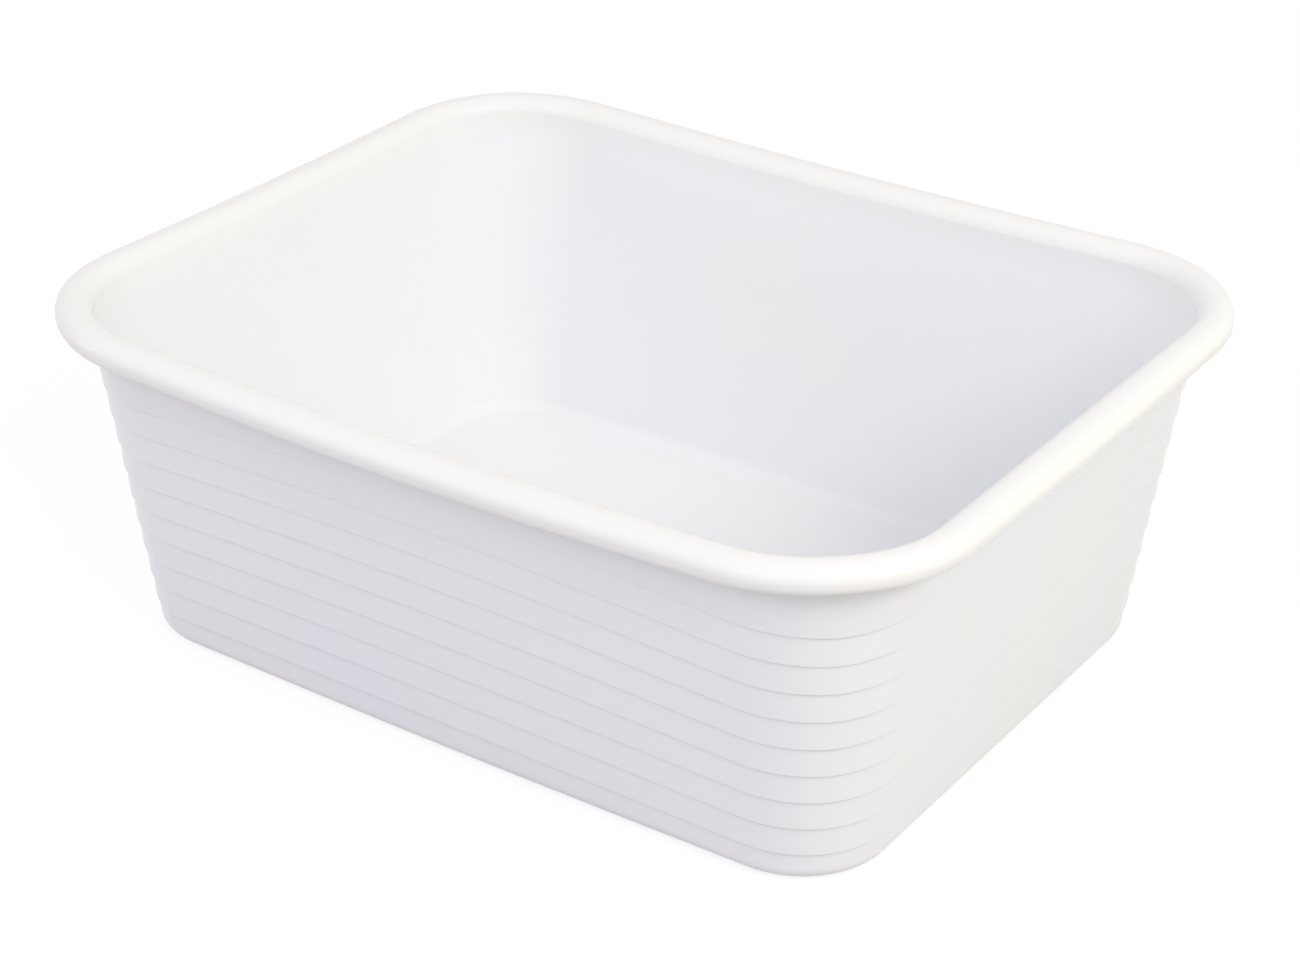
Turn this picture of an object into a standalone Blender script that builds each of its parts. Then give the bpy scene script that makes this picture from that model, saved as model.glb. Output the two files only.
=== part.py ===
"""Rectangular plastic tub with a rolled rim and a lapped outer wall.

The tub is one moulding. Its three sections, the rim, the wall and the floor pan, are separate closed
solids that meet face to face on level planes. Metres, +Z up, long side along X, underside on Z = 0.
"""

from collections import namedtuple
from math import cos, pi, radians, sin

import bmesh
import bpy
from mathutils import Vector

# The rim, over its outer edge at the corners
LENGTH = 0.3800
WIDTH = 0.3087
HEIGHT = 0.1413
RIM_CORNER_RADIUS = 0.0618
RIM_WIDTH = 0.0158
RIM_DEPTH = 0.0113
RIM_SHEET = 0.0020
# How far the middle of a side bows outwards, and dips below the corners
RIM_BOW_LONG = 0.0028
RIM_BOW_SHORT = 0.0006
RIM_DIP_LONG = 0.0032
RIM_DIP_SHORT = 0.0015
# Height of wall that belongs to the rim's section, under the lowest point of the rolled edge
RIM_ROOT = 0.0040

# The wall, whose outer face stands back from the middle of the rim's width
WALL = 0.0020
WALL_SETBACK = 0.0045
# Steps of the lapped bands: how far each stands out, the height of its sloped underside, and how far
# the lowest and the highest lie from the wall's two ends, at a corner and at the middle of a side
LAP = 0.0009
LAP_SLOPE = 0.0006
LOWEST_STEP_CORNER = 0.0033
LOWEST_STEP_MIDDLE = 0.0052
HIGHEST_STEP_CORNER = 0.0159
HIGHEST_STEP_MIDDLE = 0.0092

# The foot of the wall, where its slope meets the ground before it is rounded
FOOT_LENGTH = 0.3230
FOOT_WIDTH = 0.2444
FOOT_CORNER_RADIUS = 0.0346
FOOT_BOW = 0.0016
FOOT_ROUNDING = 0.0050
FLOOR = 0.0020
FLOOR_FILLET = 0.0072

# Counts, angles and shares
STEPS = 9
ARC_STEPS = 12
LONG_STEPS = 14
SHORT_STEPS = 12
ROUNDING_STEPS = 5
FILLET_STEPS = 6
ROLL_STEPS = 10
CROWN_STEPS = 6
CHANNEL_STEPS = 5
ROLL_END = radians(-60)
CREST_POWER_SHARE = 1.2
SMOOTH_ANGLE = radians(35)
WHITE = (0.88, 0.88, 0.87, 1.0)
ROUGHNESS = 0.38

# Sizes that follow from the ones above
RIM_HALF_WIDTH = RIM_WIDTH / 2
RIM_HALF_DEPTH = RIM_DEPTH / 2
RIM_CENTRE = HEIGHT - RIM_HALF_DEPTH
WALL_HEAD = HEIGHT - RIM_DEPTH
WALL_TOP = WALL_HEAD - RIM_DIP_LONG - RIM_ROOT
PAN_TOP = FLOOR + FLOOR_FILLET

Station = namedtuple("Station", "place normal long_crest short_crest")


def crest(share):
    """How much of a side's bow, dip or arch shows at this share of the way from its middle to a corner."""
    return cos(min(share, 1) * pi / 2) ** CREST_POWER_SHARE


def outline(length, width, radius, long_bow, short_bow):
    """Stations round a rectangle with rounded corners and bowed sides, counter-clockwise from the +X side."""
    run_x, run_y = length / 2 - radius, width / 2 - radius
    arc_half = radius * pi / 4
    stations = []

    def add(corner, angle, along, run, is_long):
        weight = crest(along / (run + arc_half))
        normal = Vector((cos(angle), sin(angle)))
        bow = weight * (long_bow if is_long else short_bow)
        place = corner + normal * (radius + bow)
        stations.append(Station(place, normal, weight * is_long, weight * (not is_long)))

    for quarter, (sign_x, sign_y) in enumerate(((1, 1), (-1, 1), (-1, -1), (1, -1))):
        corner = Vector((sign_x * run_x, sign_y * run_y))
        from_short = quarter % 2 == 0
        for number in range(ARC_STEPS + 1):
            turned = pi / 2 * number / ARC_STEPS
            before = number <= ARC_STEPS / 2
            is_long = before != from_short
            run = run_x if is_long else run_y
            arc = radius * (turned if before else pi / 2 - turned)
            add(corner, quarter * pi / 2 + turned, run + arc, run, is_long)
        is_long = from_short
        count = LONG_STEPS if is_long else SHORT_STEPS
        run = run_x if is_long else run_y
        angle = (quarter + 1) * pi / 2
        forwards = Vector((-sin(angle), cos(angle)))
        for number in range(1, count):
            along = 2 * run * number / count
            add(corner + forwards * along, angle, abs(run - along), run, is_long)
    return stations


RIM_PATH = outline(
    LENGTH - RIM_WIDTH,
    WIDTH - RIM_WIDTH,
    RIM_CORNER_RADIUS - RIM_HALF_WIDTH,
    RIM_BOW_LONG,
    RIM_BOW_SHORT,
)
FOOT_PATH = outline(FOOT_LENGTH, FOOT_WIDTH, FOOT_CORNER_RADIUS, FOOT_BOW, 0)


def wall_point(index, height, out=0, level=None):
    """A point on the wall's mean slope at a height, moved outwards, and lifted to a level if one is given."""
    rim, foot = RIM_PATH[index], FOOT_PATH[index]
    head = rim.place - rim.normal * WALL_SETBACK
    place = foot.place.lerp(head, height / WALL_HEAD) + rim.normal * out
    return Vector((place.x, place.y, height if level is None else level))


def step_height(index, number):
    """Height of a band's lower edge. The edges arch up towards the middle of each side."""
    rim, foot = RIM_PATH[index], FOOT_PATH[index]
    weight = (rim.long_crest + rim.short_crest + foot.long_crest + foot.short_crest) / 2
    lowest = PAN_TOP + LOWEST_STEP_CORNER + weight * (LOWEST_STEP_MIDDLE - LOWEST_STEP_CORNER)
    highest = WALL_TOP - HIGHEST_STEP_CORNER - weight * (HIGHEST_STEP_MIDDLE - HIGHEST_STEP_CORNER)
    return lowest + (highest - lowest) * number / (STEPS - 1)


def bottom_band_out(index, height):
    """How far the lowest band stands out from the mean slope. It leans in until the lowest step."""
    return LAP / 2 - LAP * height / (step_height(index, 0) - LAP_SLOPE)


def top_band_out(index, height):
    """The same for the highest band, which ends on the mean slope under the rim."""
    highest = step_height(index, STEPS - 1)
    return LAP / 2 * (WALL_HEAD - height) / (WALL_HEAD - highest)


def ring(point_at):
    return [point_at(index) for index in range(len(RIM_PATH))]


def rim_ring(out, height):
    """A ring parallel to the middle of the rim's width, which dips along each side."""

    def point_at(index):
        station = RIM_PATH[index]
        dip = RIM_DIP_LONG * station.long_crest + RIM_DIP_SHORT * station.short_crest
        place = station.place + station.normal * out
        return Vector((place.x, place.y, height - dip))

    return ring(point_at)


def oval_rings(half_width, half_depth, start, end, count):
    """Rings on an oval round the rim's centre, from one angle to another, 0 being outwards and up a quarter turn."""
    angles = (start + (end - start) * number / count for number in range(count + 1))
    return [rim_ring(half_width * cos(a), RIM_CENTRE + half_depth * sin(a)) for a in angles]


def rim_rings():
    """The rolled edge: up the inner face, over the crown, down and under, and back inside the channel."""
    inner_face = WALL_SETBACK + WALL
    channel_width = RIM_HALF_WIDTH - RIM_SHEET
    channel_depth = RIM_HALF_DEPTH - RIM_SHEET
    return [
        ring(lambda i: wall_point(i, WALL_TOP, top_band_out(i, WALL_TOP))),
        rim_ring(-WALL_SETBACK, WALL_HEAD),
        *oval_rings(WALL_SETBACK, channel_depth, pi, pi / 2, CHANNEL_STEPS)[:-1],
        *oval_rings(channel_width, channel_depth, pi / 2, ROLL_END, CHANNEL_STEPS),
        *oval_rings(RIM_HALF_WIDTH, RIM_HALF_DEPTH, ROLL_END, pi / 2, ROLL_STEPS),
        *oval_rings(inner_face, RIM_HALF_DEPTH, pi / 2, pi, CROWN_STEPS)[1:],
        rim_ring(-inner_face, WALL_HEAD),
        ring(lambda i: wall_point(i, WALL_TOP, -WALL)),
    ]


def wall_rings():
    """The lapped outer face from the pan up, then the plain inner face."""
    rings = [ring(lambda i: wall_point(i, PAN_TOP, bottom_band_out(i, PAN_TOP)))]
    for number in range(STEPS):
        under = ring(lambda i: wall_point(i, step_height(i, number) - LAP_SLOPE, -LAP / 2))
        edge = ring(lambda i: wall_point(i, step_height(i, number), LAP / 2))
        rings += [under, edge]
    rings.append(ring(lambda i: wall_point(i, WALL_TOP, top_band_out(i, WALL_TOP))))
    rings.append(ring(lambda i: wall_point(i, WALL_TOP, -WALL)))
    rings.append(ring(lambda i: wall_point(i, PAN_TOP, -WALL)))
    return rings


def pan_rings():
    """The underside's rounded edge, the foot of the wall, and the fillet down to the floor."""
    rings = []
    for number in range(ROUNDING_STEPS + 1):
        angle = pi / 2 * (1 - number / ROUNDING_STEPS)
        inwards = FOOT_ROUNDING * (1 - cos(angle))
        level = FOOT_ROUNDING * (1 - sin(angle))

        def point_at(index):
            out = bottom_band_out(index, FOOT_ROUNDING) - inwards
            return wall_point(index, FOOT_ROUNDING, out, level)

        rings.append(ring(point_at))
    rings.append(ring(lambda i: wall_point(i, PAN_TOP, bottom_band_out(i, PAN_TOP))))
    for number in range(FILLET_STEPS + 1):
        angle = pi / 2 * number / FILLET_STEPS
        out = -WALL - FLOOR_FILLET * (1 - cos(angle))
        level = PAN_TOP - FLOOR_FILLET * sin(angle)
        rings.append(ring(lambda i: wall_point(i, PAN_TOP, out, level)))
    return rings


def plastic(name):
    material = bpy.data.materials.new(name)
    material.use_nodes = True
    shader = material.node_tree.nodes["Principled BSDF"]
    shader.inputs["Base Color"].default_value = WHITE
    shader.inputs["Roughness"].default_value = ROUGHNESS
    shader.inputs["Metallic"].default_value = 0
    return material


def add_section(name, rings, is_capped):
    """One closed solid through its rings: a band that meets itself, or a dish with a face over each end."""
    mesh = bmesh.new()
    loops = [[mesh.verts.new(point) for point in points] for points in rings]
    following = loops[1:] if is_capped else loops[1:] + loops[:1]
    for lower, upper in zip(loops, following):
        for here in range(len(lower)):
            there = (here + 1) % len(lower)
            mesh.faces.new((lower[here], lower[there], upper[there], upper[here]))
    if is_capped:
        mesh.faces.new(reversed(loops[0]))
        mesh.faces.new(loops[-1])
    bmesh.ops.recalc_face_normals(mesh, faces=mesh.faces)
    data = bpy.data.meshes.new(name)
    mesh.to_mesh(data)
    mesh.free()
    data.shade_smooth()
    data.set_sharp_from_angle(angle=SMOOTH_ANGLE)
    data.materials.append(plastic(name))
    section = bpy.data.objects.new(name, data)
    bpy.context.scene.collection.objects.link(section)
    return section


def main():
    for leftover in list(bpy.data.objects):
        bpy.data.objects.remove(leftover)
    add_section("rolled_rim", rim_rings(), is_capped=False)
    add_section("lapped_wall", wall_rings(), is_capped=False)
    add_section("floor_pan", pan_rings(), is_capped=True)


main()
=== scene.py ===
"""White moulded tub with a rolled rim and lapped walls, under soft studio light.

The tub's section is drawn once, as points from the floor up the inside, over the rim and down to the foot.
It is drawn as it is at a corner and as it is at the middle of a side, because the laps arch between the
two. Geometry nodes carry it round the tub, between the outlines of the foot and of the rim. The section is
parted on two level planes, as the CAD model is, into a pan, a wall and a rim.
"""

from collections import namedtuple
from math import atan, cos, pi, radians, sin, tan

import bpy
from mathutils import Matrix, Vector


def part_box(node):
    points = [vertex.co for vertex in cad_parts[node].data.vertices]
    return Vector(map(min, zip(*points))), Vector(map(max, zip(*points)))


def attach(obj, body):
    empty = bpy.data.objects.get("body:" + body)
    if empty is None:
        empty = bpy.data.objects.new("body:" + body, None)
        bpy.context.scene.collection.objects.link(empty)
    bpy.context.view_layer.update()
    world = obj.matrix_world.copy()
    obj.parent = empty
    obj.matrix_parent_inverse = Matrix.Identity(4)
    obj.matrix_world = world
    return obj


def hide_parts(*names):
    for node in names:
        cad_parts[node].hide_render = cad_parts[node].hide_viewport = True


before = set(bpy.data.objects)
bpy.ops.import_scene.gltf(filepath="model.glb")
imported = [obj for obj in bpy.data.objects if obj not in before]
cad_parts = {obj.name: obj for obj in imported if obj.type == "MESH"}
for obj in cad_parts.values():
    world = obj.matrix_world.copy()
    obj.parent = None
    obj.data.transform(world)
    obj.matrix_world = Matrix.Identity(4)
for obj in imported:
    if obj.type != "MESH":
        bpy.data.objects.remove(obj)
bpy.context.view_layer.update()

# Sizes are in metres. The rim: its corners' outer radius, its width and depth, and its sheet
RIM_CORNER_RADIUS = 0.0618
RIM_WIDTH = 0.0158
RIM_DEPTH = 0.0113
RIM_SHEET = 0.0020
# The radius of its bend out of the wall, and how far its roll reaches down from the middle of its depth
RIM_BEND = 0.0068
ROLL_DROP_CORNER = 0.0055
ROLL_DROP_MIDDLE = 0.0061
# How far the middle of a side bows outwards, and dips below the corners
RIM_BOW_LONG = 0.0028
RIM_BOW_SHORT = 0.0006
RIM_DIP_LONG = 0.0032
RIM_DIP_SHORT = 0.0015
# The wall, and how far its outer face stands back from the middle of the rim's width
WALL = 0.0020
SETBACK_CORNER = 0.0045
SETBACK_MIDDLE = 0.0064
# The laps: how far each stands out, the height of its underside, and how far its edge and its hollow
# are eased. The lit hollow fades out over a further length below
LAP = 0.0009
LAP_SLOPE = 0.0006
LAP_EDGE_EASING = 0.0002
LAP_HOLLOW_EASING = 0.0006
HOLLOW_FADE = 0.0014
# How far the lowest and the highest lap lie from the wall's two ends
LOWEST_LAP_CORNER = 0.0033
LOWEST_LAP_MIDDLE = 0.0052
HIGHEST_LAP_CORNER = 0.0159
HIGHEST_LAP_MIDDLE = 0.0092
LAPS = 9
# The sink of the inner face behind each lap, and the shares of a band's height where it is deepest and
# where it ends
SINK = 0.00002
SINK_DEEPEST = 1 / 8
SINK_END = 1 / 2
# The foot, whose outline is taken before its edge is rounded, and the floor
FOOT_LENGTH = 0.3230
FOOT_WIDTH = 0.2444
FOOT_CORNER_RADIUS = 0.0346
FOOT_BOW = 0.0016
FOOT_ROUNDING = 0.0055
FLOOR = 0.0020
FILLET = 0.0055
# How far the ring that keeps a face flat lies from the bend beside it
KEEPER = 0.0003

# Sizes that the frame gives, and those that follow
wall_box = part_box("lapped_wall")
rim_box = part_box("rolled_rim")
HEIGHT = rim_box[1].z
PAN_TOP = wall_box[0].z
WALL_TOP = wall_box[1].z
LENGTH = rim_box[1].x - rim_box[0].x - 2 * RIM_BOW_SHORT
WIDTH = rim_box[1].y - rim_box[0].y - 2 * RIM_BOW_LONG
RIM_HALF_WIDTH = RIM_WIDTH / 2
RIM_HALF_DEPTH = RIM_DEPTH / 2
RIM_CENTRE = HEIGHT - RIM_HALF_DEPTH
WALL_HEAD = HEIGHT - RIM_DEPTH

# Stations along half a side and round a corner, and points along each bend of the section
HALF_LONG_STATIONS = 16
ARC_STATIONS = 20
HALF_SHORT_STATIONS = 14
EASING_STEPS = 4
BEND_STEPS = 18
FOOT_STEPS = 10
FILLET_STEPS = 12
CROWN_STEPS = 12
ROLL_STEPS = 14
LIP_STEPS = 6
CHANNEL_STEPS = 8
# Where the roll ends, and how far the wall leans outwards for the height that it climbs
ROLL_END = radians(-54)
WALL_LEAN = 0.13
# Powers of a round bend, of the roll's fuller bend, and of the fall of a bow from the middle of its side
ROUND_POWER = 2.0
ROLL_POWER = 2.5
CREST_POWER = 1.2
# The angle between two faces past which their edge is drawn sharp, and how near welded points lie
SHARP_ANGLE = radians(40)
WELD = 0.000001
# The radii between which a rounded edge goes from plain to fully worn and painted paler as painted light,
# and a hollow from plain to fully lifted by painted light
UNWORN_UNLIT_EDGE = 0.0075
WORN_AND_LIT_EDGE = 0.0055
PLAIN_HOLLOW = 0.0030
LIT_HOLLOW = 0.0007

# A point of the section: how far it lies out from the wall's slope at the height called slope, how high
# it is itself, and whether it dips with the rim
Point = namedtuple("Point", "out slope level dips")


def between(corner, middle, share):
    """A size at a corner when the share is 0, and at the middle of a side when it is 1."""
    return corner + (middle - corner) * share


def on_wall(out, level, dips=0):
    """A point that lies out from the wall's slope at its own height."""
    return Point(out, level, level, dips)


def eased(before, corner, after, cut, steps):
    """Points round a corner of the section, starting and ending at the cut from it."""
    corner = Vector(corner)
    back = (Vector(before) - corner).normalized() * cut
    onwards = (Vector(after) - corner).normalized() * cut
    angles = (pi / 2 * number / steps for number in range(steps + 1))
    return [corner + back * (1 - sin(a)) + onwards * (1 - cos(a)) for a in angles]


def kept(before, corner, after, cut, steps):
    """An eased corner with a ring beyond each of its ends, which keeps the faces beside it flat."""
    points = eased(before, corner, after, cut, steps)
    first = points[0] + (Vector(before) - Vector(corner)).normalized() * KEEPER
    last = points[-1] + (Vector(after) - Vector(corner)).normalized() * KEEPER
    return [first, *points, last]


def lap_heights(share):
    """Heights of the laps' edges, which arch up towards the middle of each side."""
    lowest = PAN_TOP + between(LOWEST_LAP_CORNER, LOWEST_LAP_MIDDLE, share)
    highest = WALL_TOP - between(HIGHEST_LAP_CORNER, HIGHEST_LAP_MIDDLE, share)
    return [lowest + (highest - lowest) * number / (LAPS - 1) for number in range(LAPS)]


def top_band_out(level, share):
    """How far the highest band stands out from the mean slope. It ends on that slope under the rim."""
    return LAP / 2 * (WALL_HEAD - level) / (WALL_HEAD - lap_heights(share)[-1])


def bottom_band_out(level, share):
    """The same for the lowest band, which leans in from the foot to the lowest lap."""
    return LAP / 2 - LAP * level / (lap_heights(share)[0] - LAP_SLOPE)


def pan_section(share):
    """The floor, its fillet, the plane where the wall begins, the foot and the underside."""
    further_in = -WALL - 2 * FILLET
    wall_side = (-WALL, PAN_TOP)
    fillet = kept((further_in, FLOOR), (-WALL, FLOOR), wall_side, FILLET, FILLET_STEPS)[:-1]
    band_top = (bottom_band_out(PAN_TOP, share), PAN_TOP)
    band_foot = (bottom_band_out(0, share), 0)
    foot = kept(band_top, band_foot, (further_in, 0), FOOT_ROUNDING, FOOT_STEPS)
    return [on_wall(*point) for point in (*fillet, wall_side, band_top, *foot)]


def wall_section(share):
    """Up the inside, with a faint sink behind each lap, across to the outside and down over the laps."""
    heights = lap_heights(share)
    pitch = heights[1] - heights[0]
    inside = [(-WALL, PAN_TOP)]
    for height in heights:
        inside += [(-WALL + SINK, height + pitch * SINK_DEEPEST), (-WALL, height + pitch * SINK_END)]
    inside[-1] = (-WALL, min(heights[-1] + pitch * SINK_END, WALL_TOP - KEEPER))
    corners = [Vector((top_band_out(WALL_TOP, share), WALL_TOP))]
    for height in reversed(heights):
        corners += [Vector((LAP / 2, height)), Vector((-LAP / 2, height - LAP_SLOPE))]
    corners.append(Vector((bottom_band_out(PAN_TOP, share), PAN_TOP)))
    outside = [corners[0]]
    for number in range(1, len(corners) - 1, 2):
        above, edge, hollow, below = corners[number - 1 : number + 3]
        outside.append(edge + (above - edge).normalized() * (LAP_EDGE_EASING + KEEPER))
        outside += eased(above, edge, hollow, LAP_EDGE_EASING, EASING_STEPS)
        outside += eased(edge, hollow, below, LAP_HOLLOW_EASING, EASING_STEPS)
        outside.append(hollow + (below - hollow).normalized() * (LAP_HOLLOW_EASING + HOLLOW_FADE))
    outside.append(corners[-1])
    closed = [*inside, (-WALL, WALL_TOP), *outside, inside[0]]
    return [on_wall(*point) for point in closed]


def curve(middle, half_width, half_depth, start, end, steps, power=ROUND_POWER):
    """Points (out, level) on a round or oval. Above a power of 2 its shoulders are fuller."""
    points = []
    for number in range(steps + 1):
        angle = start + (end - start) * number / steps
        out = abs(cos(angle)) ** (2 / power) * (1 if cos(angle) > 0 else -1)
        rise = abs(sin(angle)) ** (2 / power) * (1 if sin(angle) > 0 else -1)
        points.append((middle[0] + half_width * out, middle[1] + half_depth * rise))
    return points


def rolled_lip(outer, inner):
    """The round edge of the sheet between the outside of the roll and the channel inside it."""
    middle = (Vector(outer) + Vector(inner)) / 2
    across = Vector(outer) - middle
    ahead = Vector((across.y, -across.x))
    angles = (pi * number / LIP_STEPS for number in range(1, LIP_STEPS))
    return [tuple(middle + across * cos(a) + ahead * sin(a)) for a in angles]


def rim_section(share):
    """Up the inside, over the bend and the crown, round the roll to its lip and back in the channel."""
    setback = between(SETBACK_CORNER, SETBACK_MIDDLE, share)
    drop = between(ROLL_DROP_CORNER, ROLL_DROP_MIDDLE, share)
    lean = atan(WALL_LEAN)
    # The middle of the bend, whose round touches the leaning wall and the level of the top
    reach = RIM_BEND / tan((pi / 2 + lean) / 2)
    bend = (WALL_LEAN * RIM_DEPTH - setback - WALL + reach, HEIGHT - RIM_BEND)
    roll = (bend[0], RIM_CENTRE)
    width = RIM_HALF_WIDTH - bend[0]
    inner_bend = RIM_BEND - RIM_SHEET
    inner_width = width - RIM_SHEET
    inner_depth = RIM_HALF_DEPTH - RIM_SHEET
    outer_face = [
        *curve(bend, RIM_BEND, RIM_BEND, pi - lean, pi / 2, BEND_STEPS),
        *curve(roll, width, RIM_HALF_DEPTH, pi / 2, 0, CROWN_STEPS)[1:],
        *curve(roll, width, drop, 0, ROLL_END, ROLL_STEPS, ROLL_POWER)[1:],
    ]
    channel = [
        *curve(roll, inner_width, drop - RIM_SHEET, ROLL_END, 0, CHANNEL_STEPS, ROLL_POWER),
        *curve(roll, inner_width, inner_depth, 0, pi / 2, CHANNEL_STEPS)[1:],
        *curve(bend, inner_bend, inner_bend, pi / 2, pi - lean, CHANNEL_STEPS)[1:],
    ]
    rolled = [*outer_face, *rolled_lip(outer_face[-1], channel[0]), *channel]
    start = on_wall(-WALL, WALL_TOP)
    return [
        start,
        on_wall(-WALL, outer_face[0][1] - KEEPER, 1),
        *(Point(out + setback, WALL_HEAD, level, 1) for out, level in rolled),
        on_wall(0, channel[-1][1] - KEEPER, 1),
        on_wall(top_band_out(WALL_TOP, share), WALL_TOP),
        start,
    ]


def bend_shares(section, slack, tight, is_hollow):
    """How sharply a section bends at each point, from 0 at the slack radius to 1 at the tight one.

    The planes where the moulding is parted don't count, and neither do the ends of the section.
    """
    side = -1 if is_hollow else 1
    places = [Vector((p.out + WALL_LEAN * (p.slope - WALL_HEAD), p.level)) for p in section]
    shares = [0.0]
    for before, here, after in zip(places, places[1:], places[2:]):
        into, onwards = here - before, after - here
        bend = side * into.angle_signed(onwards, 0) / ((into.length + onwards.length) / 2)
        share = (bend - 1 / slack) / (1 / tight - 1 / slack)
        is_parted = section[len(shares)].level in (PAN_TOP, WALL_TOP)
        shares.append(0.0 if is_parted else min(max(share, 0), 1))
    return [*shares, 0.0]


def drawn_section(name, section):
    """A line of points drawn as at a corner, which also hold their places at the middle of a side."""
    corner, middle = section(0), section(1)
    mesh = bpy.data.meshes.new(name)
    edges = [(number, number + 1) for number in range(len(corner) - 1)]
    mesh.from_pydata([point[:3] for point in corner], edges, [])
    at_middle = mesh.attributes.new("at_middle", "FLOAT_VECTOR", "POINT")
    at_middle.data.foreach_set("vector", [value for point in middle for value in point[:3]])
    values = {
        "dips": [point.dips for point in corner],
        # Bends take wear and painted light, and hollows take painted light
        "worn_and_lit": bend_shares(corner, UNWORN_UNLIT_EDGE, WORN_AND_LIT_EDGE, is_hollow=False),
        "hollow": bend_shares(corner, PLAIN_HOLLOW, LIT_HOLLOW, is_hollow=True),
    }
    for label, shares in values.items():
        mesh.attributes.new(label, "FLOAT", "POINT").data.foreach_set("value", shares)
    piece = bpy.data.objects.new(name, mesh)
    bpy.context.scene.collection.objects.link(piece)
    return piece


class Wire:
    """A number between two nodes of a tree. A sum on wires adds the maths nodes that work it out."""

    def __init__(self, tree, socket):
        self.tree = tree
        self.socket = socket

    def worked(self, operation, *others):
        node = self.tree.nodes.new("ShaderNodeMath")
        node.operation = operation
        for value, socket in zip((self, *others), node.inputs):
            join(self.tree, value, socket)
        return Wire(self.tree, node.outputs[0])

    def __add__(self, other):
        return self.worked("ADD", other)

    def __sub__(self, other):
        return self.worked("SUBTRACT", other)

    def __mul__(self, other):
        return self.worked("MULTIPLY", other)

    def __truediv__(self, other):
        return self.worked("DIVIDE", other)

    def held(self):
        """The number kept from 0 to 1."""
        return self.worked("MAXIMUM", 0).worked("MINIMUM", 1)


def join(tree, value, socket):
    """Feeds a socket with a wire, or gives it a plain value."""
    if isinstance(value, Wire):
        tree.links.new(value.socket, socket)
    else:
        socket.default_value = value


def new_tree(name, use, inputs, outputs):
    """A node group for Geometry or Shader use with these (name, kind) sockets, and its two end nodes."""
    tree = bpy.data.node_groups.new(name, use + "NodeTree")
    for label, kind in inputs:
        tree.interface.new_socket(label, in_out="INPUT", socket_type="NodeSocket" + kind)
    for label, kind in outputs:
        tree.interface.new_socket(label, in_out="OUTPUT", socket_type="NodeSocket" + kind)
    return tree, tree.nodes.new("NodeGroupInput"), tree.nodes.new("NodeGroupOutput")


def outline_tree():
    """The tree that finds a place on a rectangle with rounded corners and bowed sides.

    Stations are counted from the middle of the +X side. Each quarter of the outline mirrors the one before,
    so the place is found in the first quarter and then given its signs.
    """
    counts = ("Station", "Half Short", "Arc", "Half Long")
    sizes = ("Length", "Width", "Corner Radius", "Short Bow", "Long Bow")
    found = ("X", "Y", "Normal X", "Normal Y", "Short Crest", "Long Crest")
    tree, group_in, group_out = new_tree(
        "bowed_outline",
        "Geometry",
        [(label, "Float") for label in counts + sizes],
        [(label, "Float") for label in found],
    )
    station, half_short, arc, half_long, length, width, radius, short_bow, long_bow = (
        Wire(tree, socket) for socket in group_in.outputs[: len(counts + sizes)]
    )
    quarter = half_short + arc + half_long
    local = station.worked("PINGPONG", quarter)
    rise_share = (local / half_short).held()
    turn = ((local - half_short) / arc).held() * (pi / 2)
    back_share = ((local - half_short - arc) / half_long).held()
    run_x = length * 0.5 - radius
    run_y = width * 0.5 - radius

    def crest(way, run):
        """How much of a side's bow shows, from all at its middle to none at the corner's centre."""
        share = way / (run + radius * (pi / 4))
        fall = share.worked("MINIMUM", 1) * (pi / 2)
        return fall.worked("COSINE").worked("MAXIMUM", 0).worked("POWER", CREST_POWER)

    short_crest = crest(run_y * rise_share + radius * turn, run_y)
    left = turn * -1 + pi / 2
    long_crest = crest(run_x * (back_share * -1 + 1) + radius * left, run_x)
    reach = radius + short_crest * short_bow + long_crest * long_bow
    x = run_x * (back_share * -1 + 1) + reach * turn.worked("COSINE")
    y = run_y * rise_share + reach * turn.worked("SINE")
    sign_x = ((station - quarter * 2).worked("ABSOLUTE") - quarter).worked("SIGN")
    sign_y = (quarter * 2 - station).worked("SIGN")
    results = (
        x * sign_x,
        y * sign_y,
        turn.worked("COSINE") * sign_x,
        turn.worked("SINE") * sign_y,
        short_crest,
        long_crest,
    )
    for value, socket in zip(results, group_out.inputs):
        join(tree, value, socket)
    return tree


OUTLINE = outline_tree()
STATIONS = {
    "Half Short Stations": HALF_SHORT_STATIONS,
    "Arc Stations": ARC_STATIONS,
    "Half Long Stations": HALF_LONG_STATIONS,
}
SIZES = {
    "Rim Length": LENGTH - RIM_WIDTH,
    "Rim Width": WIDTH - RIM_WIDTH,
    "Rim Corner Radius": RIM_CORNER_RADIUS - RIM_HALF_WIDTH,
    "Rim Short Bow": RIM_BOW_SHORT,
    "Rim Long Bow": RIM_BOW_LONG,
    "Rim Short Dip": RIM_DIP_SHORT,
    "Rim Long Dip": RIM_DIP_LONG,
    "Foot Length": FOOT_LENGTH,
    "Foot Width": FOOT_WIDTH,
    "Foot Corner Radius": FOOT_CORNER_RADIUS,
    "Foot Short Bow": 0.0,
    "Foot Long Bow": FOOT_BOW,
    "Corner Setback": SETBACK_CORNER,
    "Middle Setback": SETBACK_MIDDLE,
    "Wall Head": WALL_HEAD,
}


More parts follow.
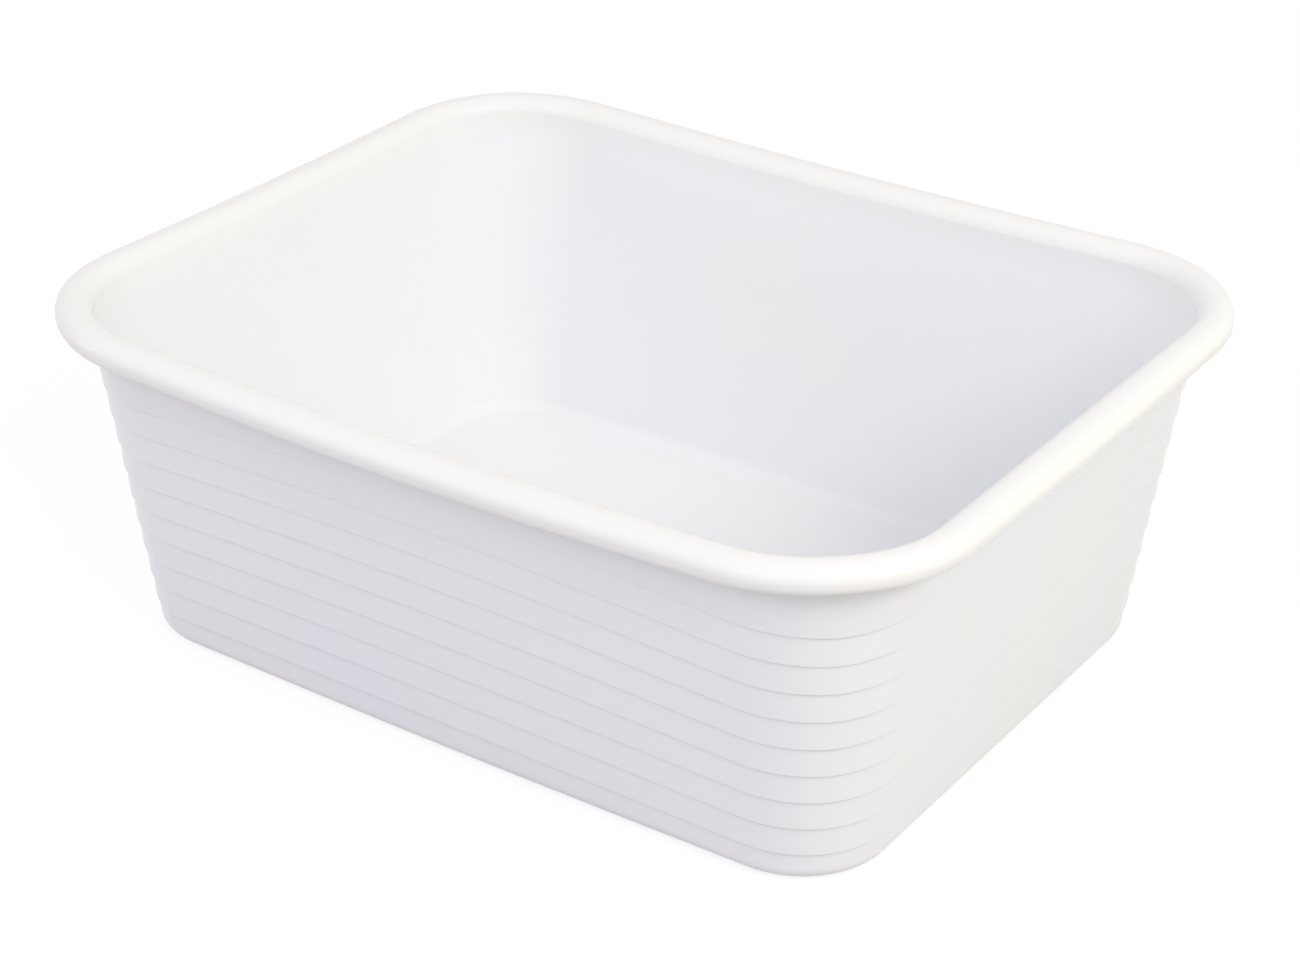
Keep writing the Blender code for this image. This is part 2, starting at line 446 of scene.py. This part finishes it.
def carried_round(name, is_capped, material):
    """The tree that carries a drawn section round the tub and gives the body its material.

    A plain tube supplies the faces: it has a ring for each point of the section and a vertex for each
    station. A capped body keeps the tube's two end faces. In the others the last ring meets the first,
    and they are welded.
    """
    labels = [("Section", "Geometry")]
    labels += [(label, "Int") for label in STATIONS]
    labels += [(label, "Float") for label in SIZES]
    tree, group_in, group_out = new_tree(name, "Geometry", labels, [("Body", "Geometry")])
    given = {label: Wire(tree, group_in.outputs[label]) for label, _ in labels}
    half_short, arc, half_long = (given[label] for label in STATIONS)
    stations = (half_short + arc + half_long) * 4
    size = tree.nodes.new("GeometryNodeAttributeDomainSize")
    join(tree, given["Section"], size.inputs["Geometry"])
    tube = tree.nodes.new("GeometryNodeMeshCylinder")
    tube.fill_type = "NGON" if is_capped else "NONE"
    join(tree, stations, tube.inputs["Vertices"])
    rings = Wire(tree, size.outputs["Point Count"])
    join(tree, rings - 1, tube.inputs["Side Segments"])
    index = Wire(tree, tree.nodes.new("GeometryNodeInputIndex").outputs[0])
    ring = (index / stations).worked("FLOOR")
    station = index.worked("MODULO", stations)

    def sampled(socket, kind):
        """A value of the section's own point for this ring."""
        sample = tree.nodes.new("GeometryNodeSampleIndex")
        sample.data_type = kind
        join(tree, given["Section"], sample.inputs["Geometry"])
        tree.links.new(socket, sample.inputs["Value"])
        join(tree, ring, sample.inputs["Index"])
        return sample.outputs[0]

    def named(label, kind):
        attribute = tree.nodes.new("GeometryNodeInputNamedAttribute")
        attribute.data_type = kind
        attribute.inputs["Name"].default_value = label
        return attribute.outputs["Attribute"]

    def parts(socket):
        apart = tree.nodes.new("ShaderNodeSeparateXYZ")
        tree.links.new(socket, apart.inputs[0])
        return [Wire(tree, output) for output in apart.outputs]

    def outline(prefix):
        group = tree.nodes.new("GeometryNodeGroup")
        group.node_tree = OUTLINE
        wanted = ("Length", "Width", "Corner Radius", "Short Bow", "Long Bow")
        values = [station, half_short, arc, half_long]
        values += [given[f"{prefix} {label}"] for label in wanted]
        for value, socket in zip(values, group.inputs):
            join(tree, value, socket)
        return [Wire(tree, output) for output in group.outputs]

    rim_x, rim_y, normal_x, normal_y, rim_short, rim_long = outline("Rim")
    foot_x, foot_y, _, _, foot_short, foot_long = outline("Foot")
    arch = (rim_short + rim_long + foot_short + foot_long) * 0.5
    position = tree.nodes.new("GeometryNodeInputPosition").outputs[0]
    at_corner = parts(sampled(position, "FLOAT_VECTOR"))
    at_middle = parts(sampled(named("at_middle", "FLOAT_VECTOR"), "FLOAT_VECTOR"))
    out, slope, level = (a + (b - a) * arch for a, b in zip(at_corner, at_middle))
    dips = Wire(tree, sampled(named("dips", "FLOAT"), "FLOAT"))
    dip = rim_short * given["Rim Short Dip"] + rim_long * given["Rim Long Dip"]
    climb = (slope - dips * dip) / (given["Wall Head"] - dip)
    setback = given["Corner Setback"] + (given["Middle Setback"] - given["Corner Setback"]) * arch

    def place(foot, rim, normal):
        head = rim - normal * setback
        return foot + (head - foot) * climb + normal * out

    spot = tree.nodes.new("ShaderNodeCombineXYZ")
    join(tree, place(foot_x, rim_x, normal_x), spot.inputs["X"])
    join(tree, place(foot_y, rim_y, normal_y), spot.inputs["Y"])
    join(tree, level - dips * dip, spot.inputs["Z"])
    moved = tree.nodes.new("GeometryNodeSetPosition")
    tree.links.new(spot.outputs[0], moved.inputs["Position"])
    marks = []
    for label in ("dips", "worn_and_lit", "hollow"):
        mark = tree.nodes.new("GeometryNodeStoreNamedAttribute")
        mark.inputs["Name"].default_value = label
        tree.links.new(sampled(named(label, "FLOAT"), "FLOAT"), mark.inputs["Value"])
        marks.append(mark)
    welded = tree.nodes.new("GeometryNodeMergeByDistance")
    welded.inputs["Distance"].default_value = WELD
    smooth = tree.nodes.new("GeometryNodeSetShadeSmooth")
    real = tree.nodes.new("GeometryNodeRealizeInstances")
    finish = tree.nodes.new("GeometryNodeSetMaterial")
    finish.inputs["Material"].default_value = material
    body = tube.outputs["Mesh"]
    for node in (moved, *marks, welded, smooth, real, finish):
        tree.links.new(body, node.inputs[0])
        body = node.outputs[0]
    tree.links.new(body, group_out.inputs[0])
    return tree


def made_plain(piece):
    """Replaces a piece's drawn section and its nodes by the mesh that they make."""
    evaluated = piece.evaluated_get(bpy.context.evaluated_depsgraph_get())
    mesh = bpy.data.meshes.new_from_object(evaluated)
    mesh.name = piece.name
    piece.modifiers.clear()
    piece.data = mesh
    mesh.set_sharp_from_angle(angle=SHARP_ANGLE)


def add_moulding(name, section, is_capped, node, material):
    """One section of the moulding, carried round the tub in the place of its CAD node."""
    piece = drawn_section(name, section)
    modifier = piece.modifiers.new("carried_round", "NODES")
    tree = carried_round(name, is_capped, material)
    labels = {item.name: item.identifier for item in tree.interface.items_tree}
    modifier.node_group = tree
    for label, value in {**STATIONS, **SIZES}.items():
        modifier[labels[label]] = value
    made_plain(piece)
    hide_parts(node)
    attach(piece, "root")


# The white plastic: two clouded whites, a warmer one for the rim, the paler white painted on worn bends as
# painted light, and the white painted in the hollows as painted light that lifts their shade
CLEAR_WHITE = (0.920, 0.926, 0.936, 1.0)
CREAM_WHITE = (0.938, 0.932, 0.920, 1.0)
WARM_WHITE = (0.945, 0.935, 0.880, 1.0)
# Painted light: the paler white painted on worn bends
BEND_WEAR_AND_PAINTED_LIGHT_WHITE = (0.970, 0.960, 0.905, 1.0)
# Painted light: the white painted in hollows to lift their shade
LIT_WHITE = (0.985, 0.985, 0.985, 1.0)
# How far the rim goes from the clouded whites to the warm one
RIM_WARMTH = 0.5
REFRACTION = 1.49
GLOSS = 0.10
# How rough the skin is, how much rougher the grain and the flow streaks make it, and how much smoother
# rubbing does
ROUGHNESS = 0.235
GRAIN_ROUGHNESS = 0.03
STREAK_ROUGHNESS = 0.015
RUBBED_SMOOTHNESS = 0.03
# Sizes of the clouds, the flow streaks, the grain, the ripples and the rubbed patches
CLOUD_SIZE = 0.080
STREAK_WIDTH = 0.016
STREAK_LENGTH = 0.120
GRAIN_SIZE = 0.0010
GRAIN_HEIGHT = 0.0000015
RIPPLE_SIZE = 0.028
RIPPLE_HEIGHT = 0.00004
PATCH_SIZE = 0.012
# The middle value of a noise, and how many finer layers it has
MIDDLE = 0.5
PLAIN_DETAIL = 1.0
SOME_DETAIL = 2.0
FINE_DETAIL = 3.0
# The clouds: the noise at which the second white starts, and their contrast. The specks among them: their
# size as a share of a cloud's, and their contrast
CLOUD_START = 0.32
CLOUD_CONTRAST = 2.4
SPECK_SHARE = 0.06
SPECK_CONTRAST = 0.5
# The flow streaks: the radius of the circle that they fan out on, how far from the middle of the base
# they are at full strength, and a length that keeps that middle from a division by zero
FAN_RADIUS = 0.15
STREAK_RISE = 0.0625
NEAR_ZERO = 0.0001
# How much a whole bend is worn and painted paler, and a whole hollow painted paler, as painted light, and
# how much more their patches are
LEAST_WORN_AND_LIT = 0.1
WORN_AND_LIT_PATCHES = 1.2
LEAST_LIT = 0.7
LIT_PATCHES = 0.4
# Where the Mix node has its two colours and its mixed one
FIRST_COLOUR = 6
SECOND_COLOUR = 7
MIXED_COLOUR = 2


def coordinates(tree):
    """The three coordinates of a place on the piece, in metres."""
    source = tree.nodes.new("ShaderNodeTexCoord")
    apart = tree.nodes.new("ShaderNodeSeparateXYZ")
    tree.links.new(source.outputs["Object"], apart.inputs[0])
    return [Wire(tree, output) for output in apart.outputs]


def noise(tree, places, sizes, detail=SOME_DETAIL):
    """Smooth noise from 0 to 1 whose lumps have these sizes along the three coordinates."""
    together = tree.nodes.new("ShaderNodeCombineXYZ")
    for place, size, socket in zip(places, sizes, together.inputs):
        join(tree, place / size, socket)
    lumps = tree.nodes.new("ShaderNodeTexNoise")
    lumps.inputs["Scale"].default_value = 1.0
    lumps.inputs["Detail"].default_value = detail
    tree.links.new(together.outputs[0], lumps.inputs["Vector"])
    return Wire(tree, lumps.outputs[0])


def mixed(tree, share, first, second):
    """The first colour where the share is 0 and the second where it is 1."""
    mix = tree.nodes.new("ShaderNodeMix")
    mix.data_type = "RGBA"
    join(tree, share, mix.inputs["Factor"])
    join(tree, first, mix.inputs[FIRST_COLOUR])
    join(tree, second, mix.inputs[SECOND_COLOUR])
    return Wire(tree, mix.outputs[MIXED_COLOUR])


def cloudy_white(tree, clear, cream, cloud_size):
    """Slow clouds of two whites, as the pigment leaves them."""
    places = coordinates(tree)
    clouds = noise(tree, places, [cloud_size] * 3, FINE_DETAIL)
    specks = noise(tree, places, [cloud_size * SPECK_SHARE] * 3)
    share = (clouds - CLOUD_START) * CLOUD_CONTRAST + (specks - MIDDLE) * SPECK_CONTRAST
    return [mixed(tree, share.held(), clear, cream)]


def melt_flow(tree, streak_width, streak_length):
    """Faint streaks that run out from the middle of the base and up the walls, as the plastic did."""
    x, y, z = coordinates(tree)
    reach = (x * x + y * y).worked("SQRT") + NEAR_ZERO
    fan = [x / reach * FAN_RADIUS, y / reach * FAN_RADIUS, reach + z]
    streaks = noise(tree, fan, [streak_width, streak_width, streak_length], PLAIN_DETAIL)
    return [(streaks - MIDDLE) / MIDDLE * (reach / STREAK_RISE).held()]


def moulded_skin(tree, grain_size, grain_height, ripple_size, ripple_height):
    """The height of the skin, with the mould's fine grain and slow ripples of shrinking, and the grain."""
    places = coordinates(tree)
    grain = noise(tree, places, [grain_size] * 3)
    ripple = noise(tree, places, [ripple_size] * 3, PLAIN_DETAIL)
    return [grain * grain_height + ripple * ripple_height, grain]


def worn_and_painted_light_bends(tree, worn_and_lit, patch_size):
    """Where bends of the moulding are worn smoother and also painted a paler white as painted light, in
    patches.
    """
    patches = noise(tree, coordinates(tree), [patch_size] * 3, FINE_DETAIL)
    return [(worn_and_lit * (patches * WORN_AND_LIT_PATCHES + LEAST_WORN_AND_LIT)).held()]


def lit_hollows(tree, hollow, patch_size):
    """Where a hollow is painted a paler white as painted light, which lifts its shade, in patches."""
    patches = noise(tree, coordinates(tree), [patch_size] * 3)
    return [(hollow * (patches * LIT_PATCHES + LEAST_LIT)).held()]


def finish_group(make, inputs, outputs):
    """A shader node group, filled by the function that makes its nodes and named after it."""
    tree, group_in, group_out = new_tree(make.__name__, "Shader", inputs, outputs)
    given = [Wire(tree, socket) for socket in group_in.outputs[: len(inputs)]]
    for value, socket in zip(make(tree, *given), group_out.inputs):
        join(tree, value, socket)
    return tree


def numbers(*labels):
    """Sockets for numbers, under these labels."""
    return [(label, "Float") for label in labels]


SKIN_SIZES = numbers("Grain Size", "Grain Height", "Ripple Size", "Ripple Height")
WHITES = [("Clear", "Color"), ("Cream", "Color")]
# For each finish: the function that makes its nodes, what it takes and what it puts out
FINISHES = (
    (cloudy_white, WHITES + numbers("Cloud Size"), [("Colour", "Color")]),
    (melt_flow, numbers("Streak Width", "Streak Length"), numbers("Streak")),
    (moulded_skin, SKIN_SIZES, numbers("Height", "Grain")),
    (worn_and_painted_light_bends, numbers("Worn And Lit", "Patch Size"), numbers("Mask")),
    (lit_hollows, numbers("Hollow", "Patch Size"), numbers("Mask")),
)
GROUPS = {make: finish_group(make, inputs, outputs) for make, inputs, outputs in FINISHES}


def effect(tree, make, *values):
    """Places one of the finish groups in a material with its own values."""
    group = tree.nodes.new("ShaderNodeGroup")
    group.node_tree = GROUPS[make]
    for value, socket in zip(values, group.inputs):
        join(tree, value, socket)
    results = [Wire(tree, output) for output in group.outputs]
    return results if len(results) > 1 else results[0]


def stored(tree, label):
    """A value that the piece's own geometry holds under this label."""
    attribute = tree.nodes.new("ShaderNodeAttribute")
    attribute.attribute_name = label
    return Wire(tree, attribute.outputs["Fac"])


def plastic(name, wear_and_light):
    """White satin plastic. The share after the name is how much its bends show wear and painted light."""
    material = bpy.data.materials.new(name)
    material.use_nodes = True
    tree = material.node_tree
    shader = tree.nodes["Principled BSDF"]
    shader.inputs["IOR"].default_value = REFRACTION
    shader.inputs["Specular IOR Level"].default_value = GLOSS
    white = effect(tree, cloudy_white, CLEAR_WHITE, CREAM_WHITE, CLOUD_SIZE)
    white = mixed(tree, stored(tree, "dips") * RIM_WARMTH, white, WARM_WHITE)
    streak = effect(tree, melt_flow, STREAK_WIDTH, STREAK_LENGTH)
    height, grain = effect(tree, moulded_skin, GRAIN_SIZE, GRAIN_HEIGHT, RIPPLE_SIZE, RIPPLE_HEIGHT)
    # The bends' mask: real wear in the roughness, and painted light in the colour
    bend_wear_and_light = effect(tree, worn_and_painted_light_bends, stored(tree, "worn_and_lit"), PATCH_SIZE) * wear_and_light
    lit = effect(tree, lit_hollows, stored(tree, "hollow"), PATCH_SIZE)
    # Painted light: bends are painted a paler, warmer white, beside their real wear in the roughness
    white = mixed(tree, bend_wear_and_light, white, BEND_WEAR_AND_PAINTED_LIGHT_WHITE)
    # Painted light: hollows under the laps are painted a paler white, which lifts their shade
    join(tree, mixed(tree, lit, white, LIT_WHITE), shader.inputs["Base Color"])
    rougher = (grain - MIDDLE) * GRAIN_ROUGHNESS + streak * STREAK_ROUGHNESS
    roughness = rougher - bend_wear_and_light * RUBBED_SMOOTHNESS + ROUGHNESS
    join(tree, roughness, shader.inputs["Roughness"])
    bump = tree.nodes.new("ShaderNodeBump")
    # The height is in metres already
    bump.inputs["Distance"].default_value = 1.0
    join(tree, height, bump.inputs["Height"])
    tree.links.new(bump.outputs[0], shader.inputs["Normal"])
    return material


PAN_WHITE = plastic("pan_white", wear_and_light=0.4)
WALL_WHITE = plastic("wall_white", wear_and_light=0.3)
RIM_WHITE = plastic("rim_white", wear_and_light=1.0)
add_moulding("pan_moulding", pan_section, True, "floor_pan", PAN_WHITE)
add_moulding("wall_moulding", wall_section, False, "lapped_wall", WALL_WHITE)
add_moulding("rim_moulding", rim_section, False, "rolled_rim", RIM_WHITE)

# The stage: a pale floor that keeps the tub's shadow and is otherwise white to the camera
FLOOR_SIDE = 8.0
FLOOR_DROP = 0.0002
FLOOR_WHITE = (0.60, 0.60, 0.60, 1.0)
# What the camera sees of it: a glow of its own, and a colour that takes the tub's shadow
FLOOR_GLOW = 0.80
FLOOR_SHADE = (0.26, 0.26, 0.26, 1.0)
# The kinds of ray that see the floor so, and the surround as plain white
SEEN = ("Is Camera Ray", "Is Glossy Ray", "Is Transmission Ray")


def only_for(tree, kinds):
    """1 on the kinds of ray named, such as Is Camera Ray, and 0 on the others."""
    path = tree.nodes.new("ShaderNodeLightPath")
    value = path.outputs[kinds[0]]
    for kind in kinds[1:]:
        either = tree.nodes.new("ShaderNodeMath")
        either.operation = "MAXIMUM"
        tree.links.new(value, either.inputs[0])
        tree.links.new(path.outputs[kind], either.inputs[1])
        value = either.outputs[0]
    return value


def floor_material():
    material = bpy.data.materials.new("pale_floor")
    material.use_nodes = True
    tree = material.node_tree
    tree.nodes.clear()
    lit = tree.nodes.new("ShaderNodeBsdfDiffuse")
    lit.inputs["Color"].default_value = FLOOR_WHITE
    shade = tree.nodes.new("ShaderNodeBsdfDiffuse")
    shade.inputs["Color"].default_value = FLOOR_SHADE
    glow = tree.nodes.new("ShaderNodeEmission")
    glow.inputs["Strength"].default_value = FLOOR_GLOW
    seen = tree.nodes.new("ShaderNodeAddShader")
    mix = tree.nodes.new("ShaderNodeMixShader")
    output = tree.nodes.new("ShaderNodeOutputMaterial")
    tree.links.new(shade.outputs[0], seen.inputs[0])
    tree.links.new(glow.outputs[0], seen.inputs[1])
    tree.links.new(only_for(tree, SEEN), mix.inputs[0])
    tree.links.new(lit.outputs[0], mix.inputs[1])
    tree.links.new(seen.outputs[0], mix.inputs[2])
    tree.links.new(mix.outputs[0], output.inputs["Surface"])
    return material


def add_floor():
    half = FLOOR_SIDE / 2
    corners = [(-half, -half), (half, -half), (half, half), (-half, half)]
    mesh = bpy.data.meshes.new("pale_floor")
    mesh.from_pydata([(x, y, -FLOOR_DROP) for x, y in corners], [], [(0, 1, 2, 3)])
    mesh.materials.append(floor_material())
    floor = bpy.data.objects.new("pale_floor", mesh)
    bpy.context.scene.collection.objects.link(floor)


# The light: a white surround and four soft lamps, each with its turn from +X and its rise in degrees
FILL = (1.0, 0.982, 0.990)
FILL_STRENGTH = 0.709
LAMP_WIDTH = 0.6
LAMP_DISTANCE = 2.0
AIM = (0.0, 0.0, 0.08)
Lamp = namedtuple("Lamp", "name turn rise watts colour")
LAMPS = (
    Lamp("key", turn=0, rise=38, watts=7.6, colour=(0.87, 1.0, 0.79)),
    Lamp("side", turn=-30, rise=38, watts=5.7, colour=(1.0, 0.72, 0.84)),
    Lamp("front", turn=-90, rise=38, watts=4.8, colour=(0.52, 0.705, 1.0)),
    Lamp("back", turn=210, rise=12, watts=3.7, colour=(1.0, 0.72, 0.82)),
)


def light_surround():
    world = bpy.data.worlds.new("white_surround")
    world.use_nodes = True
    tree = world.node_tree
    tree.nodes.clear()
    fill = tree.nodes.new("ShaderNodeBackground")
    fill.inputs["Color"].default_value = (*FILL, 1)
    fill.inputs["Strength"].default_value = FILL_STRENGTH
    white = tree.nodes.new("ShaderNodeBackground")
    white.inputs["Color"].default_value = (1, 1, 1, 1)
    mix = tree.nodes.new("ShaderNodeMixShader")
    output = tree.nodes.new("ShaderNodeOutputWorld")
    tree.links.new(only_for(tree, SEEN), mix.inputs[0])
    tree.links.new(fill.outputs[0], mix.inputs[1])
    tree.links.new(white.outputs[0], mix.inputs[2])
    tree.links.new(mix.outputs[0], output.inputs["Surface"])
    bpy.context.scene.world = world


def add_lamp(lamp):
    """A soft round lamp that looks at the tub."""
    turn, rise = radians(lamp.turn), radians(lamp.rise)
    place = Vector((cos(turn) * cos(rise), sin(turn) * cos(rise), sin(rise))) * LAMP_DISTANCE
    light = bpy.data.lights.new(lamp.name, "AREA")
    light.shape = "DISK"
    light.size = LAMP_WIDTH
    light.energy = lamp.watts
    light.color = lamp.colour
    holder = bpy.data.objects.new(lamp.name, light)
    holder.location = place
    holder.rotation_euler = (Vector(AIM) - place).to_track_quat("-Z", "Y").to_euler()
    bpy.context.scene.collection.objects.link(holder)


# The camera, fitted to the photograph: its place from the turn round the tub, the height, the roll, the
# distance and how far the tub lies off the middle of the picture
TURN = radians(33.9306)
RISE = radians(28.1611)
ROLL = radians(0.9405)
DISTANCE = 1.16268
ASIDE = 0.00299
ABOVE = 0.05012
LENS = 81.284
SENSOR = 36.0


def add_camera():
    back = Vector((sin(TURN) * cos(RISE), -cos(TURN) * cos(RISE), sin(RISE)))
    right = Vector((cos(TURN), sin(TURN), 0))
    up = back.cross(right)
    rolled_right = right * cos(ROLL) + up * sin(ROLL)
    rolled_up = up * cos(ROLL) - right * sin(ROLL)
    place = back * DISTANCE + rolled_right * ASIDE + rolled_up * ABOVE
    lens = bpy.data.cameras.new("camera")
    lens.lens = LENS
    lens.sensor_width = SENSOR
    camera = bpy.data.objects.new("camera", lens)
    turn = Matrix((rolled_right, rolled_up, back)).transposed()
    camera.matrix_world = Matrix.Translation(place) @ turn.to_4x4()
    bpy.context.scene.collection.objects.link(camera)
    bpy.context.scene.camera = camera


add_floor()
light_surround()
for planned in LAMPS:
    add_lamp(planned)
add_camera()
bpy.context.scene.view_settings.view_transform = "Standard"
